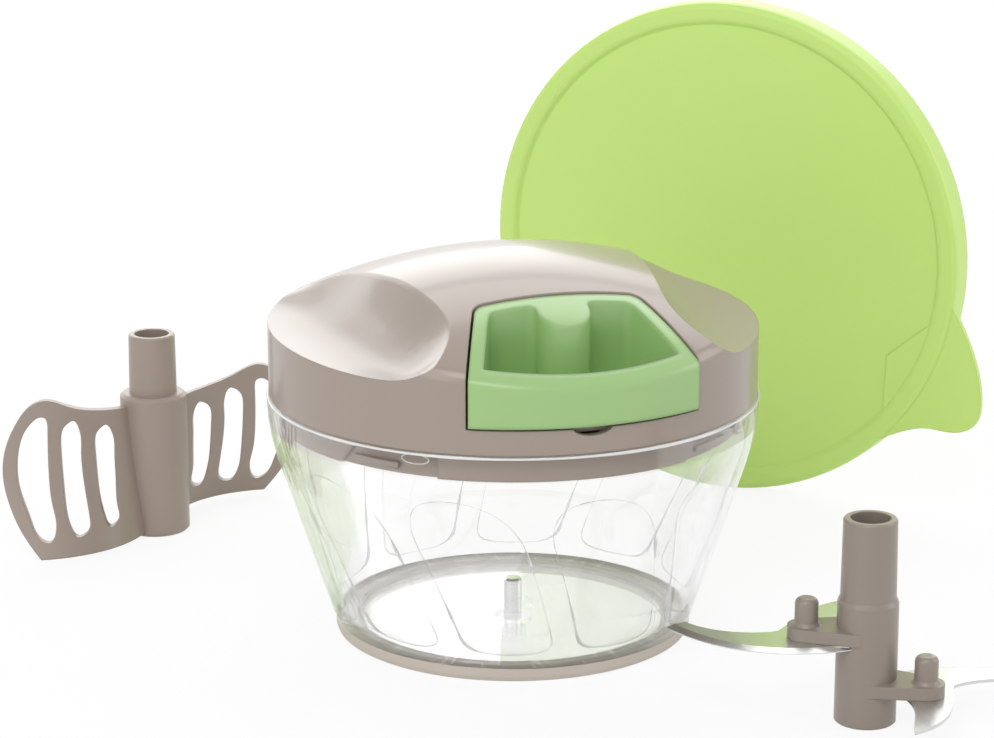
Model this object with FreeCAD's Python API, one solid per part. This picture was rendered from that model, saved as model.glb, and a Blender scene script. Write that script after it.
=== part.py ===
import FreeCAD, Part
import math
import os

from FreeCAD import Vector

# A pull-string food chopper with its two inserts and its storage lid, in millimetres.
# The origin is on the table at the bowl's axis, +Z is up and the pull handle faces -Y.

# Bowl
rim_r = 65.0
rim_z = 65.0
bowl_foot_r = 46.4
bowl_knee_r = rim_r - 2.1
bowl_knee_z = rim_z - 15.0
bowl_wall = 2.2
rim_wall = 3.2
rim_band_z = rim_z - 19.0
rim_band_blend = 11.0
floor_z = 4.0
floor_thickness = 2.0
panel_count = 10
panel_depth = 1.0
panel_foot_z = 6.0
panel_spring_z = rim_z - 27.0
panel_top_z = rim_z - 11.0
panel_twist_deg = 16.0
panel_rib = 3.4
lug_count = 4
lug_width = 7.4
lug_height = 2.5
lug_z = rim_z - 2.6
lug_depth = 1.5
lug_start_deg = -131.1

# Foot ring and centre pin
foot_height = 3.8
foot_width = 6.0
foot_tongue = 1.6
pin_r = 2.4
pin_seat_z = floor_z + 2.0
pin_seat_r = pin_r + 2.6
pin_tip_z = pin_seat_z + 6.6
pin_embed = 5.0

# Lid housing
lid_r = rim_r - 0.5
lid_wall = 2.4
seam_gap = 0.3
ridge_top_z = rim_z + 38.0
ridge_front_r = 90.0
ridge_front_reach = 56.5
ridge_back_r = 165.0
ridge_back_reach = 72.5
ridge_side_r = 142.0
ridge_side_reach = 64.5
ridge_twist = 0.0004
shoulder_r = 4.0
scoop_edge_z = rim_z + 18.1
scoop_back_rise = 2.6
scoop_inner_x = 29.6
scoop_flare = 0.17
scoop_front_y = 26.5 - lid_r
scoop_front_bend = 0.04
scoop_back_y = lid_r - 49.5
scoop_back_bend = 0.016
scoop_flank_width = 17.0
scoop_flank_power = 2.3
scoop_dip = 1.0
scoop_ends = (7.5 - lid_r, lid_r - 17.5)
crest_r = 3.6
crest_lift_deg = 14.0
skin_pitch = 8.0
skin_reach = lid_r + 7.5

# Inner cover with its skirt and bayonet tracks
skirt_clear = 0.4
skirt_wall = 3.0
skirt_bottom_z = rim_z - 7.2
cover_z = rim_z + 1.2
cover_thickness = 2.0
hub_wall = 4.0
hub_top_z = rim_z + 7.0
guide_collar_wall = 2.0
guide_collar_clear = 1.0
guide_collar_z = rim_z - 4.5
cover_rib_count = 8
cover_rib_depth = 3.0
cover_rib_width = 1.4
track_depth = 1.3
track_top_z = rim_z - 0.8
track_sweep_deg = 27.0
track_slant_deg = 5.0
track_rib_height = 1.5
track_rib_sweep_deg = 13.0

# Seal between the rim and the lid
seal_width = 1.4
seal_height = 1.0
seal_clear = 0.3

# Screws that hold the inner cover
screw_circle_r = lid_r - 18.5
screw_angles_deg = (-40.0, 50.0, 130.0, -140.0)
boss_r = 3.4
screw_r = 1.25
screw_head_r = 2.8
screw_head_height = 1.5
screw_bite = 8.0
screw_cross = 3.4
screw_cross_width = 0.7
screw_cross_depth = 0.7

# Cord reel, spindle and recoil spring
drum_r = 19.5
drum_wall = 2.5
drum_height = 7.0
flange_r = drum_r + 7.5
flange_thickness = 1.2
reel_floor = 1.3
reel_hole_count = 6
reel_hole_r = 2.6
reel_hole_circle_r = 11.5
reel_screw_head_r = 3.2
washer_thickness = 0.3
washer_gap = 0.05
spindle_r = 5.0
spindle_seat_r = 3.6
spindle_fit = 0.05
drive_head_r = 3.9
drive_head_z = rim_z - 13.0
drive_fin_width = 2.4
drive_fin_reach = 4.6
arbor_r = 5.6
arbor_bore = 3.7
arbor_clear = 1.0
spring_turns = 5
spring_thickness = 0.5
spring_gap = 0.3
spring_height = 4.2

# Cord
cord_r = 0.7
cord_turns = 2.75
cord_stack_gap = 0.45

# Pull handle
handle_r = lid_r + 0.8
handle_bottom_z = rim_z + 7.4
handle_back_y = 29.5 - lid_r
handle_back_half = 21.3
handle_side_draft = 0.392
handle_gap = 0.6
handle_corner_r = 3.6
handle_inset = 0.35
handle_side_wall = 3.6
handle_back_wall = 3.2
handle_lip = 3.9
handle_floor = 2.6
handle_front_y = -10.5 - lid_r
pocket_corner_r = 3.0
column_r = 6.8
column_out = 3.6
column_blend = 2.0
handle_brow = 2.2
tunnel_wall = 1.6
notch_half = 5.2
notch_drop = 2.2
guide_r = 2.2
guide_flange_r = 3.4
guide_flange = 1.0
guide_bore = 1.3
crimp_r = 2.2
crimp_inset = 6.8
crimp_height = 4.4

# Blade insert
blade_shaft_r = 7.7
blade_shaft_z = 32.0
insert_top_r = 6.8
blade_height = guide_collar_z - pin_seat_z - 2.0
socket_r = drive_fin_reach + 0.4
socket_clear = 1.5
socket_floor_z = drive_head_z - pin_seat_z - socket_clear
pin_fit = 0.25
pin_bore_depth = pin_tip_z - pin_seat_z + 1.4
arm_thickness = 3.2
arm_end_r = 4.7
arm_peg_at = 15.0
peg_r = 2.95
peg_height = 7.3
blade_thickness = 0.9
upper_blade_z = 20.4
lower_blade_z = 7.4
upper_arm_deg = 175.0
lower_arm_deg = -18.0
blade_step_deg = 200.0
blade_bevel = 2.2

# Paddle insert
paddle_shaft_r = 9.65
paddle_shaft_z = 41.6
paddle_height = cover_z - pin_seat_z - 1.2
wing_thickness = 2.2
wing_foot_z = 1.6

# Storage lid
store_r = rim_r + 9.4
store_border = 5.6
store_panel_drop = 1.4
store_plate = 1.8
store_depth = 9.0
store_skirt_wall = 1.6
store_plug_r = rim_r - rim_wall - 0.6
store_plug_depth = 7.6
store_edge_r = 1.8
tab_outline = [(-1.1, -10.3), (2.8, -17.5), (6.3, -26.2), (8.4, -37.0), (6.7, -44.8), (0.8, -47.6),
               (-8.2, -47.4), (-15.4, -49.3), (-22.0, -52.4)]
tab_root = (-21.0, -26.7)
tab_thickness = 2.0
tab_drop = 2.8

# Where the loose pieces stand, as seen from the side that the photograph was taken from
view_turn_deg = -17.6
blade_place = (86.9, -73.2)
paddle_place = (-104.2, 82.3)
store_place = (62.6, 122.2)
store_yaw_deg = 26.6

up = Vector(0, 0, 1)


def ring(inner, outer, z0, z1):
    body = Part.makeCylinder(outer, z1 - z0, Vector(0, 0, z0))
    if inner <= 0:
        return body
    return body.cut(Part.makeCylinder(inner, z1 - z0 + 2, Vector(0, 0, z0 - 1)))


def turned(points):
    outline = [Vector(r, 0, z) for r, z in points]
    outline.append(outline[0])
    return Part.Face(Part.makePolygon(outline)).revolve(Vector(), up, 360)


def turned_edges(edges):
    return Part.Face(Part.Wire(edges)).revolve(Vector(), up, 360)


def prism(points, z0, height):
    outline = [Vector(x, y, z0) for x, y in points]
    outline.append(outline[0])
    return Part.Face(Part.makePolygon(outline)).extrude(Vector(0, 0, height))


def around(shape, degrees, centre=Vector()):
    copy = shape.copy()
    copy.rotate(centre, up, degrees)
    return copy


def joined(shapes):
    first = shapes[0]
    if len(shapes) == 1:
        return first
    return first.fuse(shapes[1:]).removeSplitter()


def polar(radius, degrees, z=0.0):
    angle = math.radians(degrees)
    return Vector(radius * math.cos(angle), radius * math.sin(angle), z)


def smooth_step(value):
    value = min(max(value, 0.0), 1.0)
    return value * value * (3 - 2 * value)


def edges_near(shape, test):
    return [edge for edge in shape.Edges if test(edge)]


# Radii of the bowl at a height

def bowl_outer(z):
    if z <= bowl_knee_z:
        return bowl_foot_r + (bowl_knee_r - bowl_foot_r) * z / bowl_knee_z
    part = (z - bowl_knee_z) / (rim_z - bowl_knee_z)
    return bowl_knee_r + (rim_r - bowl_knee_r) * (1 - (1 - part) ** 2)


def bowl_inner(z):
    blend = smooth_step((z - rim_band_z) / rim_band_blend)
    return (bowl_outer(z) - bowl_wall) * (1 - blend) + (rim_r - rim_wall) * blend


# Heights of the lid's moulded top

def ridge_height(x, y):
    # Each arc falls over its own reach to the lid's wall, so a wider lid only widens the crown.
    ahead = max(ridge_front_reach - lid_r - y, 0.0)
    behind = max(y - lid_r + ridge_back_reach, 0.0)
    beside = max(abs(x) - lid_r + ridge_side_reach, 0.0)
    drop = ridge_front_r - math.sqrt(ridge_front_r ** 2 - ahead * ahead)
    drop += ridge_back_r - math.sqrt(ridge_back_r ** 2 - behind * behind)
    drop += ridge_side_r - math.sqrt(ridge_side_r ** 2 - beside * beside)
    return ridge_top_z - drop + ridge_twist * x * behind


def ridge_underside(x, y):
    along = ridge_height(x, y + 0.5) - ridge_height(x, y - 0.5)
    across = ridge_height(x + 0.5, y) - ridge_height(x - 0.5, y)
    return ridge_height(x, y) - lid_wall * math.sqrt(1 + along * along + across * across)


def block_above(height, x_low, x_high, y_low, y_high, pitch):
    columns = int(round((x_high - x_low) / pitch)) + 1
    rows = int(round((y_high - y_low) / pitch)) + 1
    grid = []
    for i in range(columns):
        x = x_low + (x_high - x_low) * i / (columns - 1)
        line = []
        for j in range(rows):
            y = y_low + (y_high - y_low) * j / (rows - 1)
            line.append(Vector(x, y, height(x, y)))
        grid.append(line)
    surface = Part.BSplineSurface()
    surface.interpolate(grid)
    return surface.toShape().extrude(Vector(0, 0, 70))


def bend_between(corner, back, ahead, radius, room):
    # The arc that rounds a corner, from the side that back points to, to the side that ahead points to.
    half = back.getAngle(ahead) / 2
    reach = min(radius / math.tan(half), room)
    radius = reach * math.tan(half)
    centre = corner + (back + ahead).normalize() * (radius / math.sin(half))
    middle = centre + (corner - centre).normalize() * radius
    return Part.Arc(corner + back * reach, middle, corner + ahead * reach).toShape()


def scoop_crest_x(y):
    ahead = max(scoop_front_y - y, 0.0)
    behind = max(y - scoop_back_y, 0.0)
    lean = scoop_flare * max(y - scoop_front_y - 5.0, 0.0)
    return scoop_inner_x + lean + scoop_front_bend * ahead ** 2 + scoop_back_bend * behind ** 2


def scoop_section(y, grow, side):
    # From the ridge's rounded crest down a hollow flank to a shallow dish; grow moves it into the lid.
    crest_x = scoop_crest_x(y)
    edge = scoop_edge_z + scoop_back_rise * smooth_step((y + 50.0) / 90.0)
    room = max(math.sqrt(max(lid_r ** 2 - y * y, 0.0)) - crest_x, 0.0)
    width = scoop_flank_width * min(0.72 + room / 90.0, 1.0)
    crest_z = ridge_height(side * crest_x, y)
    edge = min(edge, crest_z - 1.6)
    climb = crest_z - edge

    def hollow(x):
        away = (x - crest_x) / width
        dish = scoop_dip * math.sin(math.pi * min(max(away * width / 36.0, 0.0), 1.0)) * min(room / 30.0, 1.0)
        return edge + climb * max(1 - away, 0.0) ** scoop_flank_power - dish

    def sunk(x):
        slope = (hollow(x + 0.2) - hollow(x - 0.2)) / 0.4
        length = math.hypot(1, slope)
        return Vector(x + grow * slope / length, y, hollow(x) - grow / length)

    def ridge(x):
        return ridge_height(side * x, y) if grow == 0 else ridge_underside(side * x, y)

    top_x = crest_x
    for _ in range(12):
        over = ridge(sunk(top_x).x) - sunk(top_x).z
        top_x -= over / (climb * scoop_flank_power / width + 0.6)
    corner = sunk(top_x)
    rise = corner - sunk(top_x + 0.2)
    flank = rise.normalize()
    over_deg = math.degrees(math.atan(ridge(corner.x - 1) - ridge(corner.x))) + crest_lift_deg
    over = Vector(-math.cos(math.radians(over_deg)), 0, math.sin(math.radians(over_deg)))
    high_bend = bend_between(corner, over, flank * -1, max(crest_r - grow, 0.8), 0.5 * climb)
    foot = high_bend.Vertexes[-1].Point
    start = high_bend.Vertexes[0].Point
    points = [foot]
    for share_out in (0.14, 0.3, 0.48, 0.7, 1.0):
        points.append(sunk(foot.x + (crest_x + width - foot.x) * share_out))
    outer = lid_r + 14.0
    for share_out in (0.35, 0.7, 1.0):
        x = crest_x + width + (outer - crest_x - width) * share_out
        points.append(sunk(x))
    curve = Part.BSplineCurve()
    curve.interpolate(points)
    top = ridge_top_z + 12.0
    inward = start + over * 14.0
    end = points[-1]
    return Part.Wire([
        Part.makeLine(inward, start),
        high_bend,
        curve.toShape(),
        Part.makeLine(end, Vector(end.x, y, top)),
        Part.makeLine(Vector(end.x, y, top), Vector(inward.x, y, top)),
        Part.makeLine(Vector(inward.x, y, top), inward),
    ])


def scoops(grow):
    stations = []
    count = 14
    for i in range(count + 1):
        share = (1 - math.cos(math.pi * i / count)) / 2
        stations.append(scoop_ends[0] + (scoop_ends[1] - scoop_ends[0]) * share)
    right = Part.makeLoft([scoop_section(y, grow, 1) for y in stations], True, False)
    left = Part.makeLoft([scoop_section(y, grow, -1) for y in stations], True, False)
    return [right, left.mirror(Vector(), Vector(1, 0, 0))]


# Bowl, its foot ring and its pin

def bowl_side(radius_at, z_low, z_high, count):
    points = []
    for i in range(count + 1):
        z = z_low + (z_high - z_low) * i / count
        points.append(Vector(radius_at(z), 0, z))
    curve = Part.BSplineCurve()
    curve.interpolate(points)
    return curve.toShape(), points[0], points[-1]


def panel_section(z, turn_deg):
    # A shallow lens that dips into the wall between two ribs and narrows to an arch at the top.
    height = (z - panel_foot_z) / (panel_top_z - panel_foot_z)
    arch = max((z - panel_spring_z) / (panel_top_z - panel_spring_z), 0.0)
    start = min((z - panel_foot_z) / 5.0, 1.0)
    radius = bowl_inner(z)
    half_deg = 180.0 / panel_count - math.degrees(panel_rib / 2 / radius)
    half_deg = half_deg * math.sqrt(1 - 0.8 * arch * arch)
    depth = (panel_depth + 0.3) * min(start, 1 - arch * arch) - 0.3
    centre_deg = turn_deg - panel_twist_deg * height
    sides = [polar(radius - 0.3, centre_deg + side * half_deg, z) for side in (-1, 1)]
    deep = polar(radius + depth, centre_deg, z)
    inside = polar(radius - 5.0, centre_deg, z)
    return Part.Wire([
        Part.Arc(sides[0], deep, sides[1]).toShape(),
        Part.makeLine(sides[1], inside),
        Part.makeLine(inside, sides[0]),
    ])


def bowl_panels():
    # A rib's foot stands at the front, so the first panel starts half a pitch beside it.
    stations = [panel_foot_z, panel_foot_z + 2.5, panel_foot_z + 5.0, 20.0, 30.0]
    rise = panel_top_z - panel_spring_z
    stations += [panel_spring_z, panel_spring_z + 0.45 * rise, panel_spring_z + 0.75 * rise,
                 panel_spring_z + 0.92 * rise, panel_top_z]
    first_deg = -90.0 + 180.0 / panel_count
    one = Part.makeLoft([panel_section(z, first_deg) for z in stations], True, False)
    return [around(one, 360.0 * i / panel_count) for i in range(panel_count)]


def make_bowl():
    side, low, high = bowl_side(bowl_outer, foot_height, rim_z, 8)
    under = floor_z - floor_thickness
    step_r = bowl_outer(foot_height) - foot_width
    outline = [
        side,
        Part.makeLine(high, Vector(0, 0, rim_z)),
        Part.makeLine(Vector(0, 0, rim_z), Vector(0, 0, under)),
        Part.makeLine(Vector(0, 0, under), Vector(step_r, 0, under)),
        Part.makeLine(Vector(step_r, 0, under), Vector(step_r, 0, foot_height)),
        Part.makeLine(Vector(step_r, 0, foot_height), low),
    ]
    body = turned_edges(outline)
    inner_side, inner_low, inner_high = bowl_side(bowl_inner, floor_z, rim_z, 10)
    above = rim_z + 1
    cavity = turned_edges([
        inner_side,
        Part.makeLine(inner_high, Vector(inner_high.x, 0, above)),
        Part.makeLine(Vector(inner_high.x, 0, above), Vector(0, 0, above)),
        Part.makeLine(Vector(0, 0, above), Vector(0, 0, floor_z)),
        Part.makeLine(Vector(0, 0, floor_z), inner_low),
    ])
    body = body.cut(cavity).cut(bowl_panels())
    seat = turned([(0, 0), (pin_seat_r - 0.6, 0), (pin_seat_r, 0.6), (pin_seat_r + 0.4, floor_z),
                   (pin_seat_r, pin_seat_z), (0, pin_seat_z)])
    pin_hole = Part.makeCylinder(pin_r, 20, Vector(0, 0, pin_seat_z - pin_embed))
    body = body.fuse(seat).cut(pin_hole)
    lugs = []
    for i in range(lug_count):
        lug = Part.makeCylinder(0.5, 1, Vector(), Vector(1, 0, 0))
        stretch = FreeCAD.Matrix()
        stretch.scale(1, lug_width, lug_height)
        lug = lug.transformGeometry(stretch)
        reach = lug_depth + 1.0
        wider = FreeCAD.Matrix()
        wider.scale(reach, 1, 1)
        lug = lug.transformGeometry(wider)
        lug.translate(Vector(bowl_inner(lug_z) - lug_depth, 0, lug_z))
        lugs.append(around(lug, lug_start_deg + 360.0 * i / lug_count))
    return body.fuse(lugs).removeSplitter()


def make_foot_ring():
    outer = bowl_outer(foot_height)
    inner = outer - foot_width
    under = floor_z - floor_thickness
    return turned([(inner + 0.05, under), (inner - foot_tongue, under), (inner - foot_tongue, 0.6),
                   (inner - foot_tongue + 0.6, 0), (outer - 1.6, 0), (outer - 0.7, 0.5),
                   (outer - 0.3, 1.5), (outer - 0.1, foot_height), (inner + 0.05, foot_height)])


def make_centre_pin():
    low = pin_seat_z - pin_embed
    tip = 0.6
    return turned([(0, low), (pin_r, low), (pin_r, pin_tip_z - tip), (pin_r - tip, pin_tip_z), (0, pin_tip_z)])


# Lid

def handle_outline(gap):
    back = handle_back_y + gap
    half = handle_back_half - handle_side_draft * gap + gap * math.hypot(1, handle_side_draft)
    front = handle_front_y
    wide = half + handle_side_draft * (back - front)
    return [(-half, back), (-wide, front), (wide, front), (half, back)]


def handle_prism(gap, z0, z1, corner):
    body = prism(handle_outline(gap), z0, z1 - z0)
    back = handle_back_y + gap
    upright = edges_near(body, lambda e: abs(e.BoundBox.ZLength - (z1 - z0)) < 1e-6
                         and abs(e.Vertexes[0].Y - back) < 1e-6)
    return body.makeFillet(corner, upright)


def handle_blank(inset, base_z):
    body = handle_prism(-inset, base_z, 110.0, handle_corner_r)
    return body.common(Part.makeCylinder(handle_r - inset, 60, Vector(0, 0, base_z)))


def make_lid_skin():
    foot = rim_z + seam_gap
    above = block_above(ridge_height, -skin_reach, skin_reach, -skin_reach, skin_reach, skin_pitch)
    body = Part.makeCylinder(lid_r, 60, Vector(0, 0, foot)).cut(above)
    brow = edges_near(body, lambda e: e.BoundBox.ZMin > foot + 5 and e.BoundBox.ZMax < ridge_top_z - 5)
    body = body.makeFillet(shoulder_r, brow)
    return body.cut(scoops(0.0))


def make_lid_core():
    foot = rim_z + seam_gap
    above = block_above(ridge_underside, -skin_reach, skin_reach, -skin_reach, skin_reach, skin_pitch)
    body = Part.makeCylinder(lid_r - lid_wall, 60, Vector(0, 0, foot - 1)).cut(above)
    return body.cut(scoops(lid_wall))


def make_housing_top():
    wall_foot = rim_z + seam_gap
    outer = make_lid_skin()
    rebate_r = rim_r - rim_wall + seal_width + 2 * seal_clear
    rebate = Part.makeCylinder(rebate_r, 1.2, Vector(0, 0, wall_foot - 0.1))
    shell = outer.cut(make_lid_core()).cut(rebate)
    tunnel_base = handle_bottom_z - handle_gap
    tunnel = handle_prism(handle_gap, tunnel_base, 110.0, handle_corner_r + handle_gap)
    lining_gap = handle_gap + tunnel_wall
    lining = handle_prism(lining_gap, tunnel_base - tunnel_wall, 110.0, handle_corner_r + lining_gap)
    additions = [lining.common(outer)]
    boss_foot = cover_z + cover_thickness + 0.2
    for angle in screw_angles_deg:
        spot = polar(screw_circle_r, angle, boss_foot)
        additions.append(Part.makeCylinder(boss_r, 60, spot).common(outer))
    arbor_foot = cup_z + arbor_clear
    additions.append(Part.makeCylinder(arbor_r, 60, Vector(0, 0, arbor_foot)).common(outer))
    shell = shell.fuse(additions)
    shell = shell.cut(tunnel)
    shell = shell.cut(Part.makeCylinder(arbor_bore, 6.0, Vector(0, 0, arbor_foot - 1)))
    for angle in screw_angles_deg:
        spot = polar(screw_circle_r, angle, boss_foot - 1)
        shell = shell.cut(Part.makeCylinder(screw_r, screw_bite + 1.5, spot))
    guide_hole = Part.makeCylinder(guide_r + 0.02, 6, Vector(0, handle_back_y - 2, cord_z), Vector(0, 1, 0))
    shell = shell.cut(guide_hole)
    notch = Part.makeCylinder(notch_half, 4, Vector(0, -lid_r - 1, tunnel_base + 0.3), Vector(0, 1, 0))
    flatten = FreeCAD.Matrix()
    flatten.move(Vector(0, 0, -tunnel_base - 0.3))
    flatten.scale(1, 1, notch_drop / notch_half)
    flatten.move(Vector(0, 0, tunnel_base + 0.3))
    shell = shell.cut(notch.transformGeometry(flatten))
    return shell


def make_inner_cover():
    skirt_r = rim_r - rim_wall - skirt_clear
    plate = ring(0, lid_r - lid_wall - 0.2, cover_z, cover_z + cover_thickness)
    plate = plate.cut(ring(skirt_r + 0.1, 80, cover_z - 1, cover_z + 0.4))
    skirt = ring(skirt_r - skirt_wall, skirt_r, skirt_bottom_z, cover_z + 0.5)
    hub = ring(0, spindle_r + hub_wall, cover_z, hub_top_z)
    collar_bore = insert_top_r + guide_collar_clear
    collar_r = collar_bore + guide_collar_wall
    collar = ring(collar_bore, collar_r, guide_collar_z, cover_z + 0.5)
    pieces = [plate, skirt, hub, collar]
    for i in range(cover_rib_count):
        span = skirt_r - skirt_wall + 0.5 - collar_r + 0.5
        rib = Part.makeBox(span, cover_rib_width, cover_rib_depth + 0.5,
                           Vector(collar_r - 0.5, -cover_rib_width / 2, cover_z - cover_rib_depth))
        pieces.append(around(rib, 22.5 + 360.0 * i / cover_rib_count))
    body = joined(pieces)
    body = body.cut(Part.makeCylinder(spindle_r + spindle_fit, 30, Vector(0, 0, cover_z - 10)))
    for i in range(lug_count):
        turn = lug_start_deg + 360.0 * i / lug_count
        body = body.cut(around(track_pocket(skirt_r), turn))
        body = body.fuse(around(track_rib(skirt_r), turn))
    for angle in screw_angles_deg:
        spot = polar(screw_circle_r, angle, cover_z - 5)
        body = body.cut(Part.makeCylinder(screw_r + 0.4, 20, spot))
    return body.removeSplitter()


def arc_sector(inner, outer, start, end, z0, z1):
    middle = (start + end) / 2
    edges = [
        Part.Arc(polar(outer, start, z0), polar(outer, middle, z0), polar(outer, end, z0)).toShape(),
        Part.makeLine(polar(outer, end, z0), polar(inner, end, z0)),
        Part.Arc(polar(inner, end, z0), polar(inner, middle, z0), polar(inner, start, z0)).toShape(),
        Part.makeLine(polar(inner, start, z0), polar(outer, start, z0)),
    ]
    return Part.Face(Part.Wire(edges)).extrude(Vector(0, 0, z1 - z0))


def track_pocket(skirt_r):
    # The pocket is open at the skirt's foot, and its far end slants as it rises.
    lead = 5.5
    inner = skirt_r - track_depth
    height = track_top_z - skirt_bottom_z
    body = arc_sector(inner, skirt_r + 1, lead - track_sweep_deg, lead, skirt_bottom_z - 1, track_top_z)
    slant = math.atan2(math.radians(track_slant_deg) * skirt_r, height)
    keep_out = Part.makeBox(8, 10, 2 * height, Vector(inner - 2, -10, -1))
    keep_out.rotate(Vector(), Vector(1, 0, 0), -math.degrees(slant))
    keep_out.translate(Vector(0, 0, skirt_bottom_z))
    return body.cut(around(keep_out, lead - track_sweep_deg))


def track_rib(skirt_r):
    lead = -4.6
    foot = lug_z - lug_height / 2 - 0.35 - track_rib_height
    return arc_sector(skirt_r - track_depth - 0.4, skirt_r - 0.05, lead - track_rib_sweep_deg, lead,
                      foot, foot + track_rib_height)


def make_cover_screws():
    screws = []
    for angle in screw_angles_deg:
        spot = polar(screw_circle_r, angle, cover_z - screw_head_height)
        head = Part.makeCylinder(screw_head_r, screw_head_height, spot)
        head = head.makeFillet(0.5, [e for e in head.Edges if e.BoundBox.ZMax < spot.z + 0.01])
        length = screw_head_height + cover_thickness + screw_bite
        shank = Part.makeCylinder(screw_r, length, spot)
        corner = spot + Vector(-screw_cross / 2, -screw_cross_width / 2, 0)
        slot = Part.makeBox(screw_cross, screw_cross_width, screw_cross_depth, corner)
        screws.append(head.fuse(shank).cut(slot).cut(around(slot, 90, spot)).removeSplitter())
    return screws


def make_lid_seal():
    inner = rim_r - rim_wall + 0.05
    return turned([(inner, rim_z + 0.02), (inner + seal_width, rim_z + 0.02),
                   (inner + seal_width, rim_z + 0.6 * seal_height),
                   (inner + 0.7 * seal_width, rim_z + seal_height),
                   (inner + 0.3 * seal_width, rim_z + seal_height), (inner, rim_z + 0.6 * seal_height)])


# Reel and spring

reel_floor_z = hub_top_z + washer_thickness + washer_gap
drum_z = reel_floor_z + flange_thickness
reel_top_z = drum_z + drum_height + flange_thickness
cup_z = drum_z + reel_floor
cord_coil_r = drum_r + cord_r + 0.05
cord_z = drum_z + drum_height - cord_r - 0.3
elbow_reach = -handle_back_y - handle_gap - tunnel_wall - guide_flange - 1.6
lead_start_gap_deg = 1.0


def make_cord_reel():
    body = turned([(0, reel_floor_z), (flange_r, reel_floor_z), (flange_r, drum_z), (drum_r, drum_z),
                   (drum_r, drum_z + drum_height), (flange_r, drum_z + drum_height), (flange_r, reel_top_z),
                   (drum_r - drum_wall, reel_top_z), (drum_r - drum_wall, cup_z), (0, cup_z)])
    body = body.cut(Part.makeCylinder(spindle_seat_r, 30, Vector(0, 0, reel_floor_z - 5)))
    for i in range(reel_hole_count):
        turn = 360.0 * (i + 0.5) / reel_hole_count
        body = body.cut(Part.makeCylinder(reel_hole_r, 4, polar(reel_hole_circle_r, turn, reel_floor_z - 1)))
    return body


def make_drive_spindle():
    top = cup_z
    body = turned([(0, drive_head_z), (drive_head_r - 0.8, drive_head_z), (drive_head_r, drive_head_z + 0.8),
                   (drive_head_r, cover_z - 0.3), (spindle_r, cover_z - 0.3), (spindle_r, reel_floor_z - 0.02),
                   (spindle_seat_r - 0.02, reel_floor_z - 0.02), (spindle_seat_r - 0.02, top), (0, top)])
    fin = Part.makeBox(2 * drive_fin_reach, drive_fin_width, cover_z - 0.3 - drive_head_z - 1,
                       Vector(-drive_fin_reach, -drive_fin_width / 2, drive_head_z + 1))
    body = body.fuse([fin, around(fin, 90)]).removeSplitter()
    return body.cut(Part.makeCylinder(screw_r, 9, Vector(0, 0, top - 8)))


def make_reel_screw():
    top = cup_z
    wide = reel_screw_head_r
    head = turned([(0, top), (wide, top), (wide, top + 1.0), (wide - 0.8, top + 1.7), (0, top + 1.7)])
    shank = Part.makeCylinder(screw_r, 7, Vector(0, 0, top - 7))
    slot = Part.makeBox(4.2, 0.8, 0.9, Vector(-2.1, -0.4, top + 0.9))
    return head.fuse(shank).cut(slot).removeSplitter()


def make_reel_washer():
    outer = spindle_r + hub_wall - 0.3
    return ring(spindle_r + 0.3, outer, hub_top_z, hub_top_z + washer_thickness)


def lead_angle_deg():
    # Where a straight line from the guide touches the winding.
    return -90 + math.degrees(math.acos(cord_coil_r / elbow_reach))


def biarc(start, start_heading, end, end_heading):
    # Two arcs that meet at a tangent and have the given headings at their ends.
    across = end - start
    headings = start_heading + end_heading
    spread = 2 * (1 - start_heading.dot(end_heading))
    lean = across.dot(headings)
    reach = (math.sqrt(lean * lean + spread * across.dot(across)) - lean) / spread
    middle = (start + end + (start_heading - end_heading) * reach) * 0.5
    return [arc_from(start, start_heading, middle), arc_from(end, end_heading * -1, middle)]


def arc_from(start, heading, end):
    chord = end - start
    normal = heading.cross(chord).normalize()
    radius = chord.Length / (2 * math.sin(heading.getAngle(chord)))
    centre = start + normal.cross(heading) * radius
    halfway = centre + ((start + end) * 0.5 - centre).normalize() * radius
    return Part.Arc(start, halfway, end).toShape()


def make_cord_winding():
    pitch = 2 * cord_r + cord_stack_gap
    quarters = int(4 * cord_turns)
    rise = pitch / (2 * math.pi * cord_coil_r)
    last_deg = lead_angle_deg() + lead_start_gap_deg
    spots = []
    for i in range(quarters + 1):
        angle = last_deg + 90 * (quarters - i)
        heading = polar(1, angle - 90) + Vector(0, 0, rise)
        spots.append((polar(cord_coil_r, angle, cord_z - pitch * (quarters - i) / 4), heading.normalize()))
    edges = []
    for near, far in zip(spots, spots[1:]):
        edges += biarc(near[0], near[1], far[0], far[1])
    section = Part.Wire(Part.makeCircle(cord_r, spots[0][0], spots[0][1]))
    print(f"the winding's turns lie {pitch - 2 * cord_r:.2f} mm apart")
    return Part.Wire(Part.__sortEdges__(edges)).makePipeShell([section], True, False)


def make_recoil_spring():
    low = cup_z + arbor_clear + spring_gap
    pitch = (drum_r - drum_wall - arbor_r - 3.0) / spring_turns
    start = arbor_r + spring_gap
    outer_edges = []
    inner_edges = []
    for i in range(2 * spring_turns):
        side = 1 if i % 2 == 0 else -1
        near = start + pitch * i / 2
        far = near + pitch / 2
        centre = side * (near - far) / 2
        reach = (near + far) / 2
        for edges, grow in ((outer_edges, spring_thickness), (inner_edges, 0.0)):
            radius = reach + grow
            edges.append(Part.Arc(Vector(centre + side * radius, 0, low), Vector(centre, side * radius, low),
                                  Vector(centre - side * radius, 0, low)).toShape())
    first = Part.makeLine(inner_edges[0].Vertexes[0].Point, outer_edges[0].Vertexes[0].Point)
    last = Part.makeLine(inner_edges[-1].Vertexes[-1].Point, outer_edges[-1].Vertexes[-1].Point)
    wire = Part.Wire(Part.__sortEdges__(outer_edges + inner_edges + [first, last]))
    return Part.Face(wire).extrude(Vector(0, 0, spring_height))


# Cord, its guide and its crimp

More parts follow.
